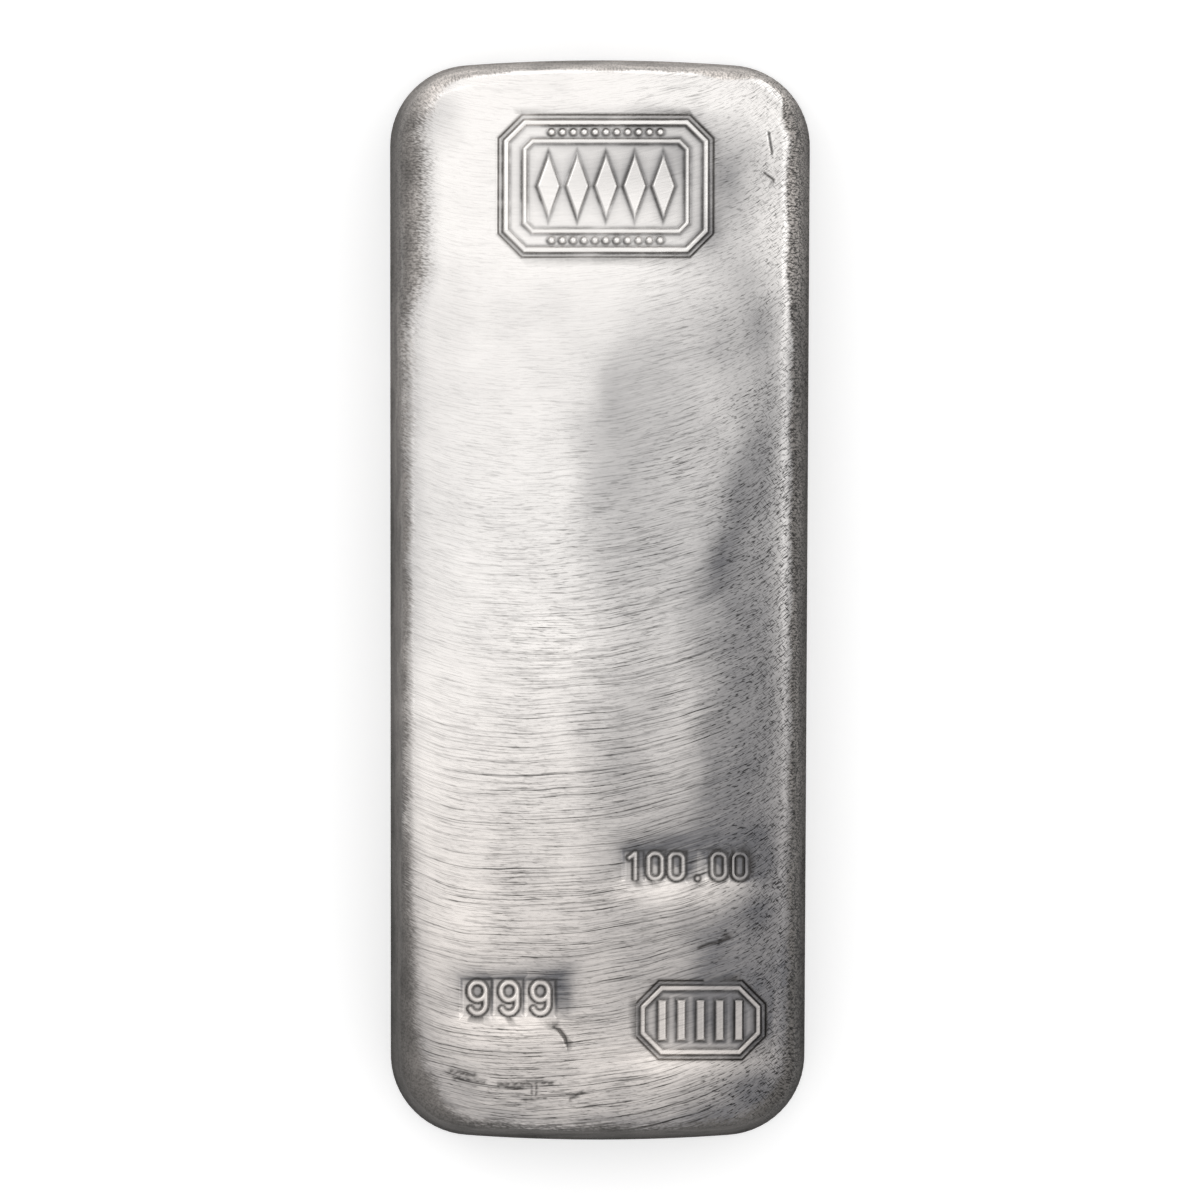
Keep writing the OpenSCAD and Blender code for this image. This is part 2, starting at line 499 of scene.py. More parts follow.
def edge_rings(points, normals):
    """Rings of the casting from the pour face up to the flat of the stamped face. Each ring comes with how far
    it lies past the border of the cast skin, how wide that border is and the skin's tone, and with its place on
    the rim: the outline's point and the depth in from it."""
    face_radius = edge_radius(points)
    sin_d, cos_d = math.sin(DRAFT), math.cos(DRAFT)
    side_reach = FOOT_RADIUS * (sin_d - cos_d + 1)
    face_z = THICKNESS - face_radius
    face_inset = -(side_reach - face_radius - face_z * sin_d) / cos_d
    foot_end = (FOOT_RADIUS * (1 - cos_d), FOOT_RADIUS * (1 + sin_d))
    side_end = (face_inset - face_radius * cos_d, face_z + face_radius * sin_d)
    lumps = sum(height for _, height, _ in SIDE_RIPPLES) + ripples(points, SIDE_RIPPLES)
    reach, fade, tone = skin_band(points)
    rings, skins, rims = [], [], []

    def ring(inset, z):
        inset, z = np.broadcast_to(inset, len(points)), np.broadcast_to(z, len(points))
        rings.append(np.column_stack([points - inset[:, None] * normals, z]))
        past = inset - reach - SKIN_PER_DROP * np.maximum(side_end[1] - z, 0)
        skins.append(np.column_stack([np.clip(past, -BARE, BARE), fade, tone]))
        rims.append(np.column_stack([points, inset + RIM_DEPTH_PER_HEIGHT * z]))

    for angle in np.linspace(-math.pi / 2, DRAFT, FOOT_ROWS + 1):
        ring(FOOT_RADIUS * (1 - math.cos(angle)), FOOT_RADIUS * (1 + math.sin(angle)))
    for share in np.linspace(0, 1, SIDE_ROWS + 1)[1:-1]:
        inset = foot_end[0] + share * (side_end[0] - foot_end[0])
        z = foot_end[1] + share * (side_end[1] - foot_end[1])
        ring(inset + lumps * smooth(share, 0, LUMP_START), z)
    for angle in np.linspace(DRAFT, math.pi / 2, EDGE_ROWS + 1):
        share = (angle - DRAFT) / (math.pi / 2 - DRAFT)
        inset = face_inset - face_radius * math.cos(angle) + lumps * (1 - share)
        ring(inset, face_z + face_radius * math.sin(angle))
    for row in range(1, RIM_ROWS + 1):
        ring(face_inset + row / RIM_ROWS * (CORNER_RADIUS - RIM_STOP - face_inset), THICKNESS)
    return np.array(rings), np.array(skins), np.array(rims)


# Mesh


def patch(border, across, along):
    """Points of a grid of cells that fills a closed border, by blending its four runs."""
    u, v = np.meshgrid(np.arange(across + 1) / across, np.arange(along + 1) / along, indexing="ij")
    u, v = u[..., None], v[..., None]
    lower = border[: across + 1][:, None]
    right = border[across : across + along + 1][None]
    upper = border[across + along : 2 * across + along + 1][::-1][:, None]
    left = np.concatenate([border[2 * across + along :], border[:1]])[::-1][None]
    blend = (1 - v) * lower + v * upper + (1 - u) * left + u * right
    for run, end, weight in (
        (lower, 0, (1 - u) * (1 - v)),
        (lower, -1, u * (1 - v)),
        (upper, 0, (1 - u) * v),
        (upper, -1, u * v),
    ):
        blend = blend - weight * run[end]
    return blend


class MeshParts:
    """Vertices, skin borders, rim places and quads of the casting as they are put together."""

    def __init__(self):
        self.points, self.skins, self.rims, self.faces = [], [], [], []
        self.count = 0

    def add(self, points, skin, rims):
        """Adds vertices and gives back their numbers, in the shape that the points came in."""
        start = self.count
        self.points.append(points.reshape(-1, 3))
        self.skins.append(np.broadcast_to(skin, points.shape).reshape(-1, 3))
        self.rims.append(rims.reshape(-1, 3))
        self.count += len(self.points[-1])
        return np.arange(start, self.count).reshape(points.shape[:-1])

    def quads(self, grid):
        """Adds a face for each cell of a grid of vertex numbers."""
        a, b, c, d = grid[:-1, :-1], grid[1:, :-1], grid[1:, 1:], grid[:-1, 1:]
        self.faces.append(np.stack([a, b, c, d], -1).reshape(-1, 4))


def add_cap(parts, ring_index, ring_points, across, along, skin, depth, upward):
    """Fills a ring with a grid whose border is the ring's own vertices."""
    grid_points = patch(ring_points, across, along)
    index = np.empty((across + 1, along + 1), int)
    inner = grid_points[1:-1, 1:-1]
    rims = inner.copy()
    rims[..., 2] = depth
    index[1:-1, 1:-1] = parts.add(inner, skin, rims)
    index[:, 0] = ring_index[: across + 1]
    index[-1, :] = ring_index[across : across + along + 1]
    index[:, -1] = ring_index[across + along : 2 * across + along + 1][::-1]
    index[0, :] = np.concatenate([ring_index[2 * across + along :], ring_index[:1]])[::-1]
    parts.quads(index if upward else index[::-1])


def plain_casting():
    """Vertices, skin borders, rim places and quads of the casting before it is struck and worn."""
    points, normals, across, along = even_outline()
    rings, skins, rims = edge_rings(points, normals)
    parts = MeshParts()
    index = parts.add(rings, skins, rims)
    closed = np.concatenate([index, index[:, :1]], 1)
    parts.quads(closed.T)
    add_cap(parts, index[-1], rings[-1], across, along, (BARE, 1, 1), THICKNESS, True)
    add_cap(parts, index[0], rings[0], across, along, (-BARE, 1, 1), POUR_FACE_DEPTH, False)
    return tuple(np.concatenate(part) for part in (parts.points, parts.skins, parts.rims, parts.faces))


def in_zone(vertex, zone):
    """Whether a vertex is on the flat of the stamped face and inside a zone of it."""
    (x0, y0), (x1, y1) = zone
    x, y, z = vertex.co
    return z > THICKNESS - FACE_TOLERANCE and x0 < x < x1 and y0 < y < y1


def refine_zones(mesh):
    """Cuts the flat of the stamped face finely wherever a mark is struck."""
    bm = bmesh.new()
    bm.from_mesh(mesh)
    for zone in FINE_ZONES:
        edges = [edge for edge in bm.edges if all(in_zone(vertex, zone) for vertex in edge.verts)]
        bmesh.ops.subdivide_edges(bm, edges=edges, cuts=ZONE_CUTS, use_grid_fill=True)
    bm.to_mesh(mesh)
    bm.free()


# Struck marks. Each gives its height against the face, its dark oxide, its tarnish with painted shade and highlights,
# and how much it calms the strokes.


def panel_distance(x, y, size, inset=0.0):
    """Signed distance to a rectangle with cut corners, below zero inside."""
    half_x, half_y = size[0] / 2, size[1] / 2
    corner = (np.abs(x) + np.abs(y) - half_x - half_y + PANEL_CORNER_CUT) / math.sqrt(2)
    return np.maximum(np.maximum(np.abs(x) - half_x, np.abs(y) - half_y), corner) + inset


def frame_distance(x, y, size, inset, width):
    """Signed distance to a frame of the given width that runs round inside a panel."""
    return np.abs(panel_distance(x, y, size, inset + width / 2)) - width / 2


def row_offset(x, count, row_length):
    """Distance in x from the nearest of count even places in a row."""
    pitch = row_length / count
    place = np.clip(np.round(x / pitch + (count - 1) / 2), 0, count - 1) - (count - 1) / 2
    return x - place * pitch


def large_motif(x, y, size):
    """Row of lozenges in an inner frame, with a row of beads above and below the frame."""
    row = LOZENGE_ROW_SHARE * size[0]
    half_x = LOZENGE_WIDTH_SHARE * row / LOZENGE_COUNT / 2
    half_y = LOZENGE_HEIGHT_SHARE * size[1] / 2
    from_axis = np.abs(row_offset(x, LOZENGE_COUNT, row)) / half_x + np.abs(y) / half_y - 1
    lozenges = from_axis * half_x * half_y / math.hypot(half_x, half_y)
    inner_frame = frame_distance(x, y, size, INNER_FRAME_INSET, INNER_FRAME_WIDTH)
    bead_y = size[1] / 2 - (FRAME_INSET + FRAME_WIDTH + INNER_FRAME_INSET) / 2
    beads = np.hypot(row_offset(x, BEAD_COUNT, BEAD_COUNT * BEAD_PITCH), np.abs(y) - bead_y) - BEAD_RADIUS
    return np.minimum(np.minimum(lozenges, inner_frame), beads)


def small_motif(x, y, size):
    """Row of upright reeds."""
    row = REED_ROW_SHARE * size[0]
    half_x = REED_WIDTH_SHARE * row / REED_COUNT / 2
    half_y = REED_HEIGHT_SHARE * size[1] / 2
    return np.maximum(np.abs(row_offset(x, REED_COUNT, row)) - half_x, np.abs(y) - half_y)


def arc_points(centre, radii, start, stop):
    """Points along an arc from start to stop degrees."""
    angles = np.radians(np.linspace(start, stop, ARC_POINTS))
    return np.stack([centre[0] + radii[0] * np.cos(angles), centre[1] + radii[1] * np.sin(angles)], 1)


def line_points(*corners):
    """Points along straight lines from corner to corner."""
    steps = np.linspace(0, 1, LINE_POINTS)[:, None]
    corners = np.array(corners)
    return np.concatenate([a + steps * (b - a) for a, b in zip(corners, corners[1:])])


def figure_strokes(character):
    """Centre lines of a figure that is 1 high, as points. What isn't a known figure is a point at its foot."""
    side, top = FIGURE_HALF
    if character == "0":
        mid = top - ZERO_BOWL
        return np.concatenate([
            arc_points((0, mid), (side, ZERO_BOWL), 0, 180),
            line_points((-side, mid), (-side, -mid)),
            arc_points((0, -mid), (side, ZERO_BOWL), 180, 360),
            line_points((side, -mid), (side, mid)),
        ])
    if character == "1":
        return line_points((-0.16, 0.27), (0.04, top), (0.04, -top))
    if character == "9":
        mid = top - NINE_BOWL
        return np.concatenate([
            arc_points((0, mid), (side, NINE_BOWL), 0, 360),
            line_points((side, mid), (side, -0.16)),
            arc_points((0, -mid), (side, NINE_BOWL), 5, -150),
        ])
    return line_points((0, -top), (0, -0.4))


def numeral_distance(x, y, mark):
    """Distance to the centre lines of a row of figures."""
    first = mark["centre"][0] - mark["pitch"] * (len(mark["text"]) - 1) / 2
    nearest = np.full(len(x), np.inf)
    for place, character in enumerate(mark["text"]):
        for px, py in figure_strokes(character) * mark["height"]:
            cx, cy = first + place * mark["pitch"] + px, mark["centre"][1] + py
            nearest = np.minimum(nearest, (x - cx) ** 2 + (y - cy) ** 2)
    return np.sqrt(nearest)


def side_of_mark(dx, dy):
    """1 on the lit side of a mark's centre, 0 on the other side."""
    return 0.5 + 0.5 * (LIT_FROM[0] * dx + LIT_FROM[1] * dy) / np.maximum(np.hypot(dx, dy), 0.1)


def shaded(distance, x, y, step=0.1):
    """How far the outline of a raised shape looks away from the light: 0 in full light, 1 in full shade."""
    ahead = distance(x + step * LIT_FROM[0], y + step * LIT_FROM[1])
    return np.clip(0.5 - 0.5 * (ahead - distance(x, y)) / step, 0, 1)


def strike_panel(x, y, panel, motif):
    """A struck panel: a sunk field round a raised frame and motif, with dirt along their outlines that is darker on
    their shaded side, painted shade on the panel's upper right and a painted highlight on its lower left.
    """
    dx, dy = x - panel["centre"][0], y - panel["centre"][1]
    size = panel["size"]

    def raised_distance(x, y):
        return np.minimum(frame_distance(x, y, size, FRAME_INSET, FRAME_WIDTH), motif(x, y, size))

    wall, above = panel_distance(dx, dy, size), side_of_mark(dx, dy)
    raised, shade = raised_distance(dx, dy), shaded(raised_distance, dx, dy)
    sunk, relief = smooth(-wall, *WALL_SLOPE), 1 - smooth(raised, *RELIEF_SLOPE)
    height = -STAMP_DEPTH * sunk * (1 - RELIEF_SHARE * relief)

    worn = np.clip(0.85 + ripples(np.stack([x, y], 1), WORN_RIPPLES), 0.3, 1)
    # The outlines' oxide is darker where an outline looks away from the light: painted shade.
    relief_line = bell(raised, *RELIEF_LINE) * sunk * worn * (0.6 + 0.4 * shade)
    wall_line = bell(wall, *WALL_LINE) * (0.75 + 0.25 * above) * np.minimum(worn + 0.2, 1)
    oxide = 0.92 * np.maximum(relief_line, wall_line)

    # Dirt in the field beside the raised shapes, made more on the upper right and on their shaded side as painted
    # shade; round the panel, painted shade on the upper right and a painted highlight on the lower left.
    beside_relief = np.exp(-np.maximum(raised, 0) / 0.7) * sunk * (1 - relief)
    around = np.exp(-np.maximum(wall, 0) / 2.0) * (wall > 0)
    tarnish_and_shading = beside_relief * (0.2 + 0.3 * above + 0.2 * shade) + around * (0.4 * above - 0.12)
    tarnish_and_shading -= 0.15 * relief * sunk
    return height, oxide, tarnish_and_shading, 0.65 * smooth(-wall, 0, 1)


def strike_numerals(x, y, mark):
    """Struck figures: raised strokes, with painted shadow above each pad and a painted highlight below it."""
    random = np.random.default_rng(len(mark["text"]))
    stroke, pitch = mark["stroke"], mark["pitch"]
    middle = (len(mark["text"]) - 1) / 2

    def distance_to_strokes(x, y):
        return numeral_distance(x, y, mark)

    distance, shade = distance_to_strokes(x, y), shaded(distance_to_strokes, x, y)
    relief = 1 - smooth(distance, 0.35 * stroke, stroke + 0.12)
    line_at, line_width = NUMERAL_LINE
    # The strokes' oxide outlines are a little darker on their shaded side: painted shade.
    oxide = np.minimum(1, 1.3 * bell(distance, stroke + line_at, line_width)) * (0.85 + 0.15 * shade)
    sunk, shade_and_highlight, nearest_pad = np.zeros(len(x)), np.zeros(len(x)), np.full(len(x), np.inf)
    for place, character in enumerate(mark["text"]):
        if character == ".":
            continue
        shift = random.uniform(-PAD_SHIFT, PAD_SHIFT, 2)
        dx = x - mark["centre"][0] - (place - middle) * pitch - 0.5 * shift[0]
        dy = y - mark["centre"][1] - shift[1]
        beyond_x = np.abs(dx) - pitch / 2 + PAD_MARGIN
        beyond_y = np.abs(dy) - mark["height"] / 2 - PAD_MARGIN
        pad_edge = np.maximum(beyond_x, beyond_y)
        pad = 1 - smooth(pad_edge, *PAD_SLOPE)
        sunk = np.maximum(sunk, random.uniform(0.7, 1.0) * pad)
        above, below = side_of_mark(dx, dy), smooth(-dy / mark["height"], 0.3, 0.5)
        # The dark line along a pad's edge is kept to its upper side, where shade would fall: painted shade.
        pad_line = bell(pad_edge, *PAD_LINE) * smooth(above, 0.5, 0.9) * random.uniform(0.5, 0.9)
        oxide = np.maximum(oxide, pad_line)
        # Painted shadow above each pad and inside its upper part, painted highlight below it.
        halo = np.exp(-np.maximum(pad_edge, 0) / 1.4) * smooth(pad_edge, -0.3, 0.1)
        around = halo * (0.7 * above - 0.4 * below) + 0.4 * pad * above
        shade_and_highlight = np.where(pad_edge < nearest_pad, around, shade_and_highlight)
        nearest_pad = np.minimum(nearest_pad, pad_edge)
    height = -NUMERAL_DEPTH * sunk * (1 - NUMERAL_RELIEF_SHARE * relief)
    return height, oxide, shade_and_highlight * (1 - relief) - 0.12 * relief, 0.8 * sunk


def gashes(x, y):
    """The cuts, nicks and scuffs that the face has taken."""
    height, oxide = np.zeros(len(x)), np.zeros(len(x))
    ticks = smooth(ripples(np.stack([x, y], 1), SCUFF_RIPPLES), -0.7, 0.3)
    for points, width, depth in GASHES:
        dark = 1 if depth > SCUFF_DEPTH else 0.4 + 0.45 * ticks
        for start, stop in zip(np.array(points), np.array(points)[1:]):
            along = stop - start
            share = np.clip(((x - start[0]) * along[0] + (y - start[1]) * along[1]) / (along @ along), 0, 1)
            apart = np.hypot(x - start[0] - share * along[0], y - start[1] - share * along[1])
            cut = bell(apart, 0, width)
            height = np.minimum(height, -depth * cut)
            oxide = np.maximum(oxide, dark * cut)
    return height, oxide, 0, 0


def struck_marks(x, y):
    """Every mark that the face has taken."""
    return (
        strike_panel(x, y, LARGE_PANEL, large_motif),
        strike_panel(x, y, SMALL_PANEL, small_motif),
        strike_numerals(x, y, FINENESS),
        strike_numerals(x, y, WEIGHT),
        gashes(x, y),
    )


# Face between the marks


def face_wear(x, y):
    """Height of the face between its marks: crown, hand-ground unevenness and metal pushed up by the dies."""
    height = -CROWN_ACROSS * (x / (WIDTH / 2)) ** 2 - CROWN_ALONG * (y / (LENGTH / 2)) ** 4
    height += ripples(np.stack([x, y], 1), FACE_RIPPLES)
    for panel in (LARGE_PANEL, SMALL_PANEL):
        height += PUSHED_UP * bump(x, y, panel["centre"], panel["swell"])
    return height


def face_tarnish_and_shading(x, y):
    """Grey tarnish and painted shade: two wavering steps that darken to the right, partly painted fall-off of the
    light's reflection, more low down, and the patches.
    """
    wander = ripples(np.stack([x, y], 1), TARNISH_RIPPLES)
    high = smooth(y, 34, 52)
    first_edge = -0.5 + 9 * high + 1.5 * wander
    first_step = 0.37 - 0.24 * high - 0.20 * smooth(-y, 15, 65)
    second_edge = 20 - 4 * smooth(-y, -15, 45) + 2.0 * wander
    second_step = (0.33 - 0.16 * high) * (1 - 0.5 * smooth(-y, 56, 76))
    # The steps stand partly for the studio light's reflection fading towards the right: painted shade over a grey
    # tarnish.
    tarnish_and_shading = first_step * smooth(x, first_edge - 6, first_edge + 5)
    tarnish_and_shading += second_step * smooth(x, second_edge - 5, second_edge + 4)

    below_panel = (0.12 + 0.03 * smooth(x, -15, 10)) * (1 - smooth(y, 46, 60))
    upper_left = 0.08 * smooth(-x, 18, 29) * smooth(y, -12, 5) * (1 - smooth(y, 50, 62))
    lower_left = 0.07 * smooth(-x, 12, 24) * smooth(-y, 8, 20) * (1 - smooth(-y, 45, 60))
    tarnish_and_shading += 0.28 * smooth(-y, 5, 80) + below_panel + upper_left - lower_left
    return tarnish_and_shading + mounds(x, y, TONE_PATCHES)


def face_strokes(x, y):
    """How strongly the brush strokes show: most low down and to the right."""
    strokes = 0.2 + 0.8 * smooth(-y, -50, 10) * smooth(x, -42, 2) + 0.3 * smooth(-y, 5, 60)
    strokes += 0.4 * smooth(x, 0, 14)
    return np.minimum(strokes, 1) + 0.25 * smooth(-y, 70, 82)


def finished_face(x, y, on_face):
    """How much lower each vertex lies for wear and marks, and the masks that the material reads."""
    lift, oxide = face_wear(x, y), np.zeros(len(x))
    tarnish_and_shading, strokes = face_tarnish_and_shading(x, y), face_strokes(x, y)
    for height, mark_oxide, mark_tarnish_and_shading, calm in struck_marks(x[on_face], y[on_face]):
        lift[on_face] += height
        oxide[on_face] = np.maximum(oxide[on_face], mark_oxide)
        tarnish_and_shading[on_face] += mark_tarnish_and_shading
        strokes[on_face] *= 1 - calm
    masks = {
        "oxide": oxide,
        "tarnish_and_shading": np.clip(tarnish_and_shading, 0, MOST_TARNISH),
        "warm": smooth(-y, -20, 80),
        "strokes": strokes,
    }
    return lift - lift.max(), masks


def set_attribute(mesh, name, values):
    """Keeps one number or one vector for each vertex."""
    kind, field = ("FLOAT", "value") if values.ndim == 1 else ("FLOAT_VECTOR", "vector")
    data = mesh.attributes.new(name, kind, "POINT").data
    data.foreach_set(field, values.astype(np.float32).ravel())


def make_ingot():
    """The finished casting, with the masks that its material reads."""
    points, skins, rims, faces = plain_casting()
    mesh = bpy.data.meshes.new(PIECE)
    mesh.from_pydata(points.tolist(), [], faces.tolist())
    set_attribute(mesh, "skin", skins)
    set_attribute(mesh, "rim", rims)
    refine_zones(mesh)

    co = np.empty(len(mesh.vertices) * 3, np.float32)
    mesh.vertices.foreach_get("co", co)
    co = co.reshape(-1, 3).astype(float)
    x, y, z = co.T
    lift, masks = finished_face(x, y, z > THICKNESS - FACE_TOLERANCE)
    for name, values in masks.items():
        set_attribute(mesh, name, values)

    corner_y = LENGTH / 2 - CORNER_RADIUS
    co[:, 0] -= NARROW_END_SHIFT * np.clip((corner_y - y) / (2 * corner_y), 0, 1)
    co[:, 2] += lift * smooth(z, THICKNESS - LIFT_REACH, THICKNESS)
    mesh.vertices.foreach_set("co", (co * MM).astype(np.float32).ravel())
    mesh.shade_smooth()
    mesh.update()
    ingot = bpy.data.objects.new(PIECE, mesh)
    bpy.context.scene.collection.objects.link(ingot)
    return ingot


# Materials


class Nodes:
    """Short ways to add nodes to a material's or world's tree. A value is a socket or a constant."""

    def __init__(self, owner):
        owner.use_nodes = True
        self.tree = owner.node_tree
        self.tree.nodes.clear()

    def add(self, kind, inputs=None, **settings):
        node = self.tree.nodes.new(kind)
        for name, value in settings.items():
            setattr(node, name, value)
        for key, value in (inputs or {}).items():
            self.put(node.inputs[key], value)
        return node

    def put(self, socket, value):
        if isinstance(value, bpy.types.NodeSocket):
            self.tree.links.new(value, socket)
        else:
            socket.default_value = value

    def math(self, operation, *values):
        return self.add("ShaderNodeMath", dict(enumerate(values)), operation=operation).outputs[0]

    def plus(self, *values):
        return functools.reduce(lambda a, b: self.math("ADD", a, b), values)

    def minus(self, first, second):
        return self.math("SUBTRACT", first, second)

    def times(self, *values):
        return functools.reduce(lambda a, b: self.math("MULTIPLY", a, b), values)

    def over(self, first, second):
        return self.math("DIVIDE", first, second)

    def greatest(self, *values):
        return functools.reduce(lambda a, b: self.math("MAXIMUM", a, b), values)

    def least(self, *values):
        return functools.reduce(lambda a, b: self.math("MINIMUM", a, b), values)

    def split(self, vector):
        return tuple(self.add("ShaderNodeSeparateXYZ", {0: vector}).outputs)

    def vector(self, x, y, z):
        return self.add("ShaderNodeCombineXYZ", {0: x, 1: y, 2: z}).outputs[0]

    def scaled(self, vector, factor):
        return self.add("ShaderNodeVectorMath", {0: vector, "Scale": factor}, operation="SCALE").outputs[0]

    def ease(self, value, start, end, out_start=0.0, out_end=1.0):
        """Goes from out_start to out_end on an easy curve as the value goes from start to end."""
        inputs = {"Value": value, "From Min": start, "From Max": end, "To Min": out_start, "To Max": out_end}
        return self.add("ShaderNodeMapRange", inputs, interpolation_type="SMOOTHSTEP").outputs[0]

    def blend(self, factor, first, second):
        """Mix of two numbers."""
        return self.add("ShaderNodeMix", {0: factor, 2: first, 3: second}).outputs[0]

    def mix(self, factor, first, second):
        """Mix of two colours."""
        inputs = {"Factor": factor, 6: first, 7: second}
        return self.add("ShaderNodeMix", inputs, data_type="RGBA").outputs[2]

    def noise(self, vector, detail=2.0, scale=1.0):
        inputs = {"Vector": vector, "Scale": scale, "Detail": detail}
        return self.add("ShaderNodeTexNoise", inputs).outputs[0]

    def attribute(self, name, output="Fac"):
        return self.add("ShaderNodeAttribute", attribute_name=name).outputs[output]


def grey(value, tint=(1.0, 1.0, 1.0)):
    return (value * tint[0], value * tint[1], value * tint[2], 1.0)


class SilverNodes(Nodes):
    """Nodes of the silver, with the places and masks that its parts share. Lengths are in millimetres."""

    def __init__(self, material):
        super().__init__(material)
        self.place = self.scaled(self.add("ShaderNodeTexCoord").outputs["Object"], 1 / MM)
        self.x, self.y, _ = self.split(self.place)
        self.rim = self.attribute("rim", "Vector")
        self.depth = self.split(self.rim)[2]
        self.past_skin, self.skin_fade, self.skin_tone = self.split(self.attribute("skin", "Vector"))
        self.across = self.across_strokes()
        self.cross = self.cross_hatching()

    def across_strokes(self):
        """Place across the brush strokes, which are arcs that steepen towards both long edges."""
        from_axis = self.minus(self.x, BRUSH_AXIS_X)
        sag = self.over(self.times(from_axis, from_axis), 2 * BRUSH_RADIUS)
        left_edge, right_edge = BRUSH_EDGES
        for past_edge in (self.minus(self.x, right_edge), self.minus(left_edge, self.x)):
            past_edge = self.greatest(past_edge, 0.0)
            sag = self.plus(sag, self.times(past_edge, past_edge, BRUSH_STEEPENING))
        wander_x, wander_y = (self.times(axis, BRUSH_WANDER_SCALE) for axis in (self.x, self.y))
        wander = self.noise(self.vector(wander_x, wander_y, 0.0))
        return self.plus(self.minus(self.y, sag), self.times(wander, BRUSH_WANDER))

    def strokes(self, mark):
        """Noise drawn out along the strokes."""
        row = self.over(self.across, mark.width)
        along = self.plus(self.over(self.x, mark.length), self.times(row, STAGGER))
        return self.noise(self.vector(along, row, mark.layer), 1.0)

    def marks(self, mark, least=0.0, most=1.0):
        """Brush marks of one kind: least between them, most where one is full."""
        return self.ease(self.strokes(mark), mark.start, mark.full, least, most)

    def grooves(self, mark):
        """Thin lines at an even pitch across the strokes, each broken where its own noise is low."""
        drift_x, drift_across = self.times(self.x, GROOVE_DRIFT[0]), self.times(self.across, GROOVE_DRIFT[1])
        drift = self.noise(self.vector(drift_x, drift_across, mark.layer))
        row = self.plus(self.over(self.across, mark.width), drift)
        line = self.ease(self.math("PINGPONG", row, 0.5), 0.0, GROOVE_LINE, 1.0, 0.0)
        return self.times(line, self.marks(mark))

    def hatch(self, mark, slope):
        """Noise drawn out along straight lines of the given slope."""
        along = self.over(self.plus(self.x, self.times(self.y, slope)), mark.length)
        row = self.over(self.minus(self.y, self.times(self.x, slope)), mark.width)
        return self.noise(self.vector(along, row, mark.layer), 1.0)

    def cross_hatching(self):
        """Scratches both ways along the right side."""
        both = self.greatest(self.hatch(HATCH_UP, HATCH_SLOPE), self.hatch(HATCH_DOWN, -HATCH_SLOPE))
        return self.times(self.ease(both, HATCH_UP.start, HATCH_UP.full), self.ease(self.x, 21.0, 29.0))


def stroke_darkness(n):
    """Dark marks of the brush: long lines and grooves low down, dashes all over, specks and hatching to the right."""
    low_half = n.ease(n.y, 25.0, -30.0, 0.2, 1.0)
    right_part = n.ease(n.x, 12.0, 26.0)
    unbroken = n.marks(BREAK, 0.45, 1.0)
    long_lines = n.times(n.marks(LONG_LINE), unbroken, low_half, LONG_LINE_SHARE)
    dashes = n.times(n.marks(DASH), DASH_SHARE)
    grooves = n.times(n.grooves(GROOVE), low_half)
    drawn_out = n.times(n.plus(long_lines, dashes, grooves), n.ease(right_part, 0.0, 1.0, 0.62, 0.15))
    fine_dashes = n.times(n.marks(FINE_DASH), n.ease(low_half, 0.2, 1.0, 0.5, 0.3))
    specks = n.times(n.marks(SPECK), n.ease(right_part, 0.0, 1.0, 0.2, 0.8))
    return n.plus(drawn_out, fine_dashes, specks, n.times(n.cross, HATCH_SHARE))


def face_look(n):
    """Colour, tarnish, painted shade, strokes and relief of the face: bright silver, warmer low down, with a grey
    tarnish and painted shade.
    """
    stroke_mask = n.attribute("strokes")
    patch_x, patch_across = n.times(n.x, PATCH_SCALE), n.times(n.across, PATCH_SCALE)
    patchy = n.noise(n.vector(patch_x, patch_across, PATCH_LAYER), 3.0)
    strokes = n.times(stroke_darkness(n), stroke_mask, n.ease(patchy, 0.3, 0.6, 0.6, 1.0))
    grain = n.strokes(GRAIN)

    uneven = n.times(n.minus(patchy, 0.5), 0.25)
    streak_share = n.times(n.ease(stroke_mask, 0.0, 1.0, 0.12, 0.35), n.ease(n.x, 16.0, 26.0, 1.0, 0.5))
    streaks = n.times(n.minus(grain, 0.5), streak_share)
    off_right_and_end = n.times(n.ease(n.x, 20.0, 28.0, 1.0, 0.0), n.ease(n.y, 74.0, 82.0, 1.0, 0.0))
    # A band of the face next to the cast skin is darker: partly grime, partly painted shade of the edge turning away
    # from the light.
    grime_and_shade_by_skin = n.times(n.ease(n.past_skin, 0.0, 3.5, 0.2, 0.0), off_right_and_end)
    tarnish_and_shading = n.plus(n.attribute("tarnish_and_shading"), uneven, streaks, grime_and_shade_by_skin)
    tarnish_and_shading = n.least(n.greatest(tarnish_and_shading, 0.0), 1.0)

    colour = n.mix(n.attribute("warm"), grey(FACE_LEVEL, FACE_TINT), grey(WARM_LEVEL, WARM_TINT))
    colour = n.mix(tarnish_and_shading, colour, grey(TARNISH_AND_SHADE_LEVEL, TARNISH_AND_SHADE_TINT))
    loss = n.least(n.times(strokes, STROKE_DARKNESS), DARKEST_STROKE)
    colour = n.scaled(colour, n.minus(1.0, loss))
    relief = n.minus(n.times(grain, GRAIN_HEIGHT), n.times(strokes, STROKE_HEIGHT))
    return colour, tarnish_and_shading, strokes, relief


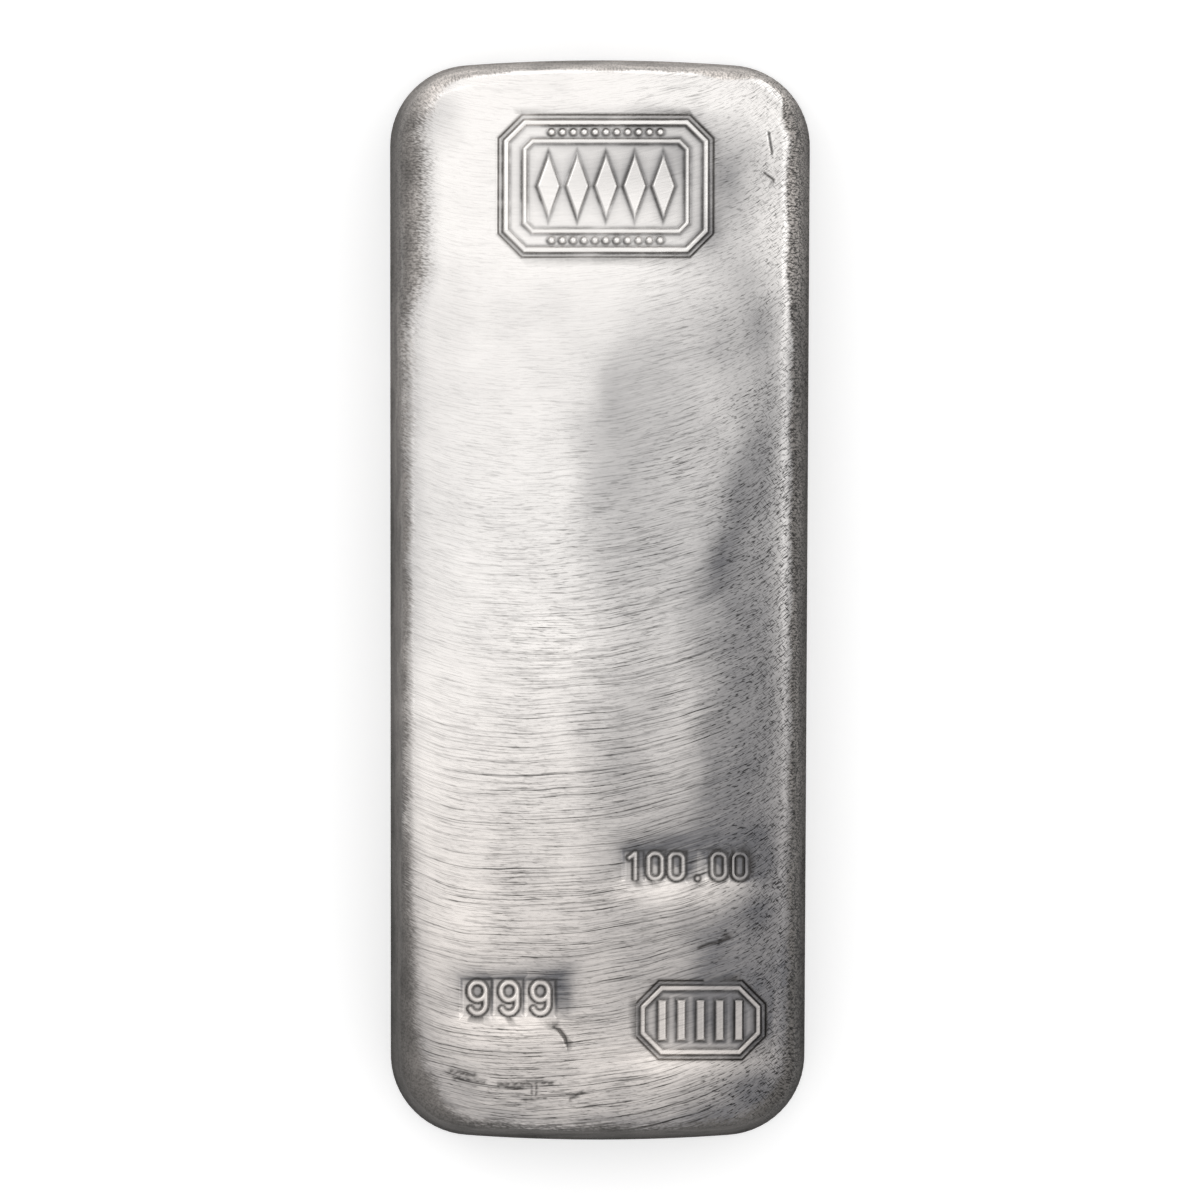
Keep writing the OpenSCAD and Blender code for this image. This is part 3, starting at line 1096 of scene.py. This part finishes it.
def side_look(n):
    """Colour and scratches of the dull cast skin, scratched square to the edge, with painted shade that darkens it
    towards the foot.
    """
    scratch_place = n.add("ShaderNodeVectorMath", {0: n.rim, 1: SCRATCH_SCALE}, operation="MULTIPLY").outputs[0]
    scratches = n.noise(scratch_place, 2.0)
    on_right = n.ease(n.x, 26.0, 31.0)
    scratched = n.greatest(n.ease(n.y, 15.0, 55.0, 0.3, 1.0), on_right)
    scratched = n.times(scratched, n.ease(n.depth, 0.5, 4.5, 0.45, 1.0))
    plain_ticks = n.ease(scratches, 0.3, 0.6, 0.6, 1.15)
    deep_ticks = n.ease(scratches, 0.38, 0.58, 0.3, 1.35)
    ticks = n.blend(scratched, 1.0, n.blend(on_right, plain_ticks, deep_ticks))

    blotches = n.ease(n.noise(n.place, 3.0, BLOTCH_SCALE), 0.3, 0.7, 0.78, 1.25)
    grain = n.ease(n.noise(n.place, 1.0, SKIN_GRAIN_SCALE), 0.32, 0.62, 0.78, 1.14)
    # Painted shade: the walls are darker than their skin, most at the foot, as if turned away from the light.
    wall = n.ease(n.depth, 0.0, 5.0, SHADED_FOOT_LEVEL, SHADED_EDGE_LEVEL)
    level = n.plus(wall, n.ease(n.depth, 4.6, 8.0, 0.0, INNER_LEVEL))
    level = n.times(level, n.skin_tone, blotches, ticks, grain, n.minus(1.0, n.times(n.cross, 0.75)))
    return n.scaled(WARM_TINT, level), scratches


def share_on_side(n, scratches):
    """1 on the cast skin and 0 on the face. The border is ragged, with fine dashes that run on from the face."""
    skin_share = n.ease(n.over(n.past_skin, n.skin_fade), -1.0, 1.0, 1.0, 0.0)
    high_up = n.ease(n.y, 25.0, 58.0)
    square_share = n.ease(high_up, 0.0, 1.0, 0.12, 0.5)
    dashes = n.times(n.strokes(BORDER_SPECK), n.minus(1.0, square_share))
    ragged = n.plus(n.times(scratches, square_share), dashes)
    lowest, highest = n.ease(high_up, 0.0, 1.0, 0.36, 0.33), n.ease(high_up, 0.0, 1.0, 0.66, 0.7)
    ragged = n.ease(ragged, 0.36, 0.64, lowest, highest)
    return n.ease(n.minus(skin_share, ragged), -0.4, 0.35)


def silver_material():
    """Brushed face, dull cast sides and dark oxide in the marks, as one metal."""
    material = bpy.data.materials.new("brushed_silver")
    n = SilverNodes(material)
    face, tarnish_and_shading, strokes, face_relief = face_look(n)
    cast, scratches = side_look(n)
    on_side = share_on_side(n, scratches)
    patchy_oxide = n.ease(n.noise(n.place, 2.0, SKIN_GRAIN_SCALE), 0.25, 0.6, 0.8, 1.0)
    oxide = n.times(n.attribute("oxide"), patchy_oxide)
    colour = n.mix(oxide, n.mix(on_side, face, cast), grey(OXIDE_LEVEL, WARM_TINT))

    on_wall = n.ease(n.depth, 4.2, 5.6, 1.0, 0.0)
    roughness = n.plus(
        SILVER_ROUGHNESS,
        n.times(tarnish_and_shading, TARNISH_ROUGHNESS),
        n.times(on_side, SKIN_ROUGHNESS),
        n.times(on_wall, WALL_ROUGHNESS),
        n.times(strokes, STROKE_ROUGHNESS),
    )
    relief = n.plus(n.times(face_relief, n.minus(1.0, on_side)), n.times(scratches, on_side, SCRATCH_HEIGHT))
    shader = n.add("ShaderNodeBsdfPrincipled", {
        "Base Color": colour,
        "Metallic": n.minus(1.0, n.times(on_side, SKIN_METAL_LOSS)),
        "Roughness": roughness,
        "Normal": n.add("ShaderNodeBump", {"Height": relief, "Distance": MM, "Strength": 1.0}).outputs[0],
        "Specular IOR Level": SPECULAR_LEVEL,
    })
    n.add("ShaderNodeOutputMaterial", {"Surface": shader.outputs[0]})
    return material


# Stage


def floor_material():
    """Pale floor that the camera and the metal both see as white, and that keeps the shadow."""
    material = bpy.data.materials.new("pale_floor")
    n = Nodes(material)
    ray = n.add("ShaderNodeLightPath").outputs
    seen = n.greatest(ray["Is Camera Ray"], ray["Is Glossy Ray"], ray["Is Transmission Ray"])
    matt = n.add("ShaderNodeBsdfDiffuse", {"Color": grey(FLOOR_GREY)}).outputs[0]
    glow = n.add("ShaderNodeEmission", {"Strength": n.times(seen, FLOOR_GLOW)}).outputs[0]
    both = n.add("ShaderNodeAddShader", {0: matt, 1: glow}).outputs[0]
    n.add("ShaderNodeOutputMaterial", {"Surface": both})
    return material


def make_floor():
    mesh = bpy.data.meshes.new("floor")
    corners = [(-1, -1), (1, -1), (1, 1), (-1, 1)]
    mesh.from_pydata([(FLOOR_REACH * x, FLOOR_REACH * y, 0) for x, y in corners], [], [(0, 1, 2, 3)])
    mesh.materials.append(floor_material())
    floor = bpy.data.objects.new("floor", mesh)
    bpy.context.scene.collection.objects.link(floor)


def make_world():
    """Soft studio surroundings: bright to the left, dimmer to the right and at the far left."""
    world = bpy.data.worlds.new("studio")
    bpy.context.scene.world = world
    n = Nodes(world)
    to_right = n.split(n.add("ShaderNodeTexCoord").outputs["Generated"])[0]
    level = n.times(n.ease(to_right, -0.12, 0.14, 1.04, 0.95), n.ease(to_right, -0.7, -0.2, 0.7, 1.0))
    shade = n.add("ShaderNodeBackground", {"Color": grey(1.0), "Strength": level}).outputs[0]
    n.add("ShaderNodeOutputWorld", {"Surface": shade})


def area_light(name, place, target, size, power):
    light = bpy.data.lights.new(name, "AREA")
    light.shape = "RECTANGLE"
    light.size, light.size_y = size
    light.energy = power
    lamp = bpy.data.objects.new(name, light)
    lamp.location = place
    lamp.rotation_euler = (Vector(target) - Vector(place)).to_track_quat("-Z", "Y").to_euler()
    bpy.context.scene.collection.objects.link(lamp)


def make_camera():
    """Looks straight down from far off, as the photograph does."""
    camera = bpy.data.cameras.new("camera")
    camera.lens = camera.sensor_width * CAMERA_DISTANCE / PICTURE_WIDTH
    eye = bpy.data.objects.new("camera", camera)
    eye.location = (0, 0, CAMERA_DISTANCE)
    bpy.context.scene.collection.objects.link(eye)
    bpy.context.scene.camera = eye


ingot = make_ingot()
ingot.data.materials.append(silver_material())
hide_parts("ingot")
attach(ingot, "root")

make_floor()
make_world()
area_light("key", place=(-0.75, 0.45, 0.95), target=(0, 0, 0), size=(0.8, 0.8), power=1.4)
area_light("strip", place=(0.72, 0.1, 0.8), target=(0, 0, 0.02), size=(0.4, 0.8), power=0.5)
make_camera()
bpy.context.scene.view_settings.view_transform = "Standard"
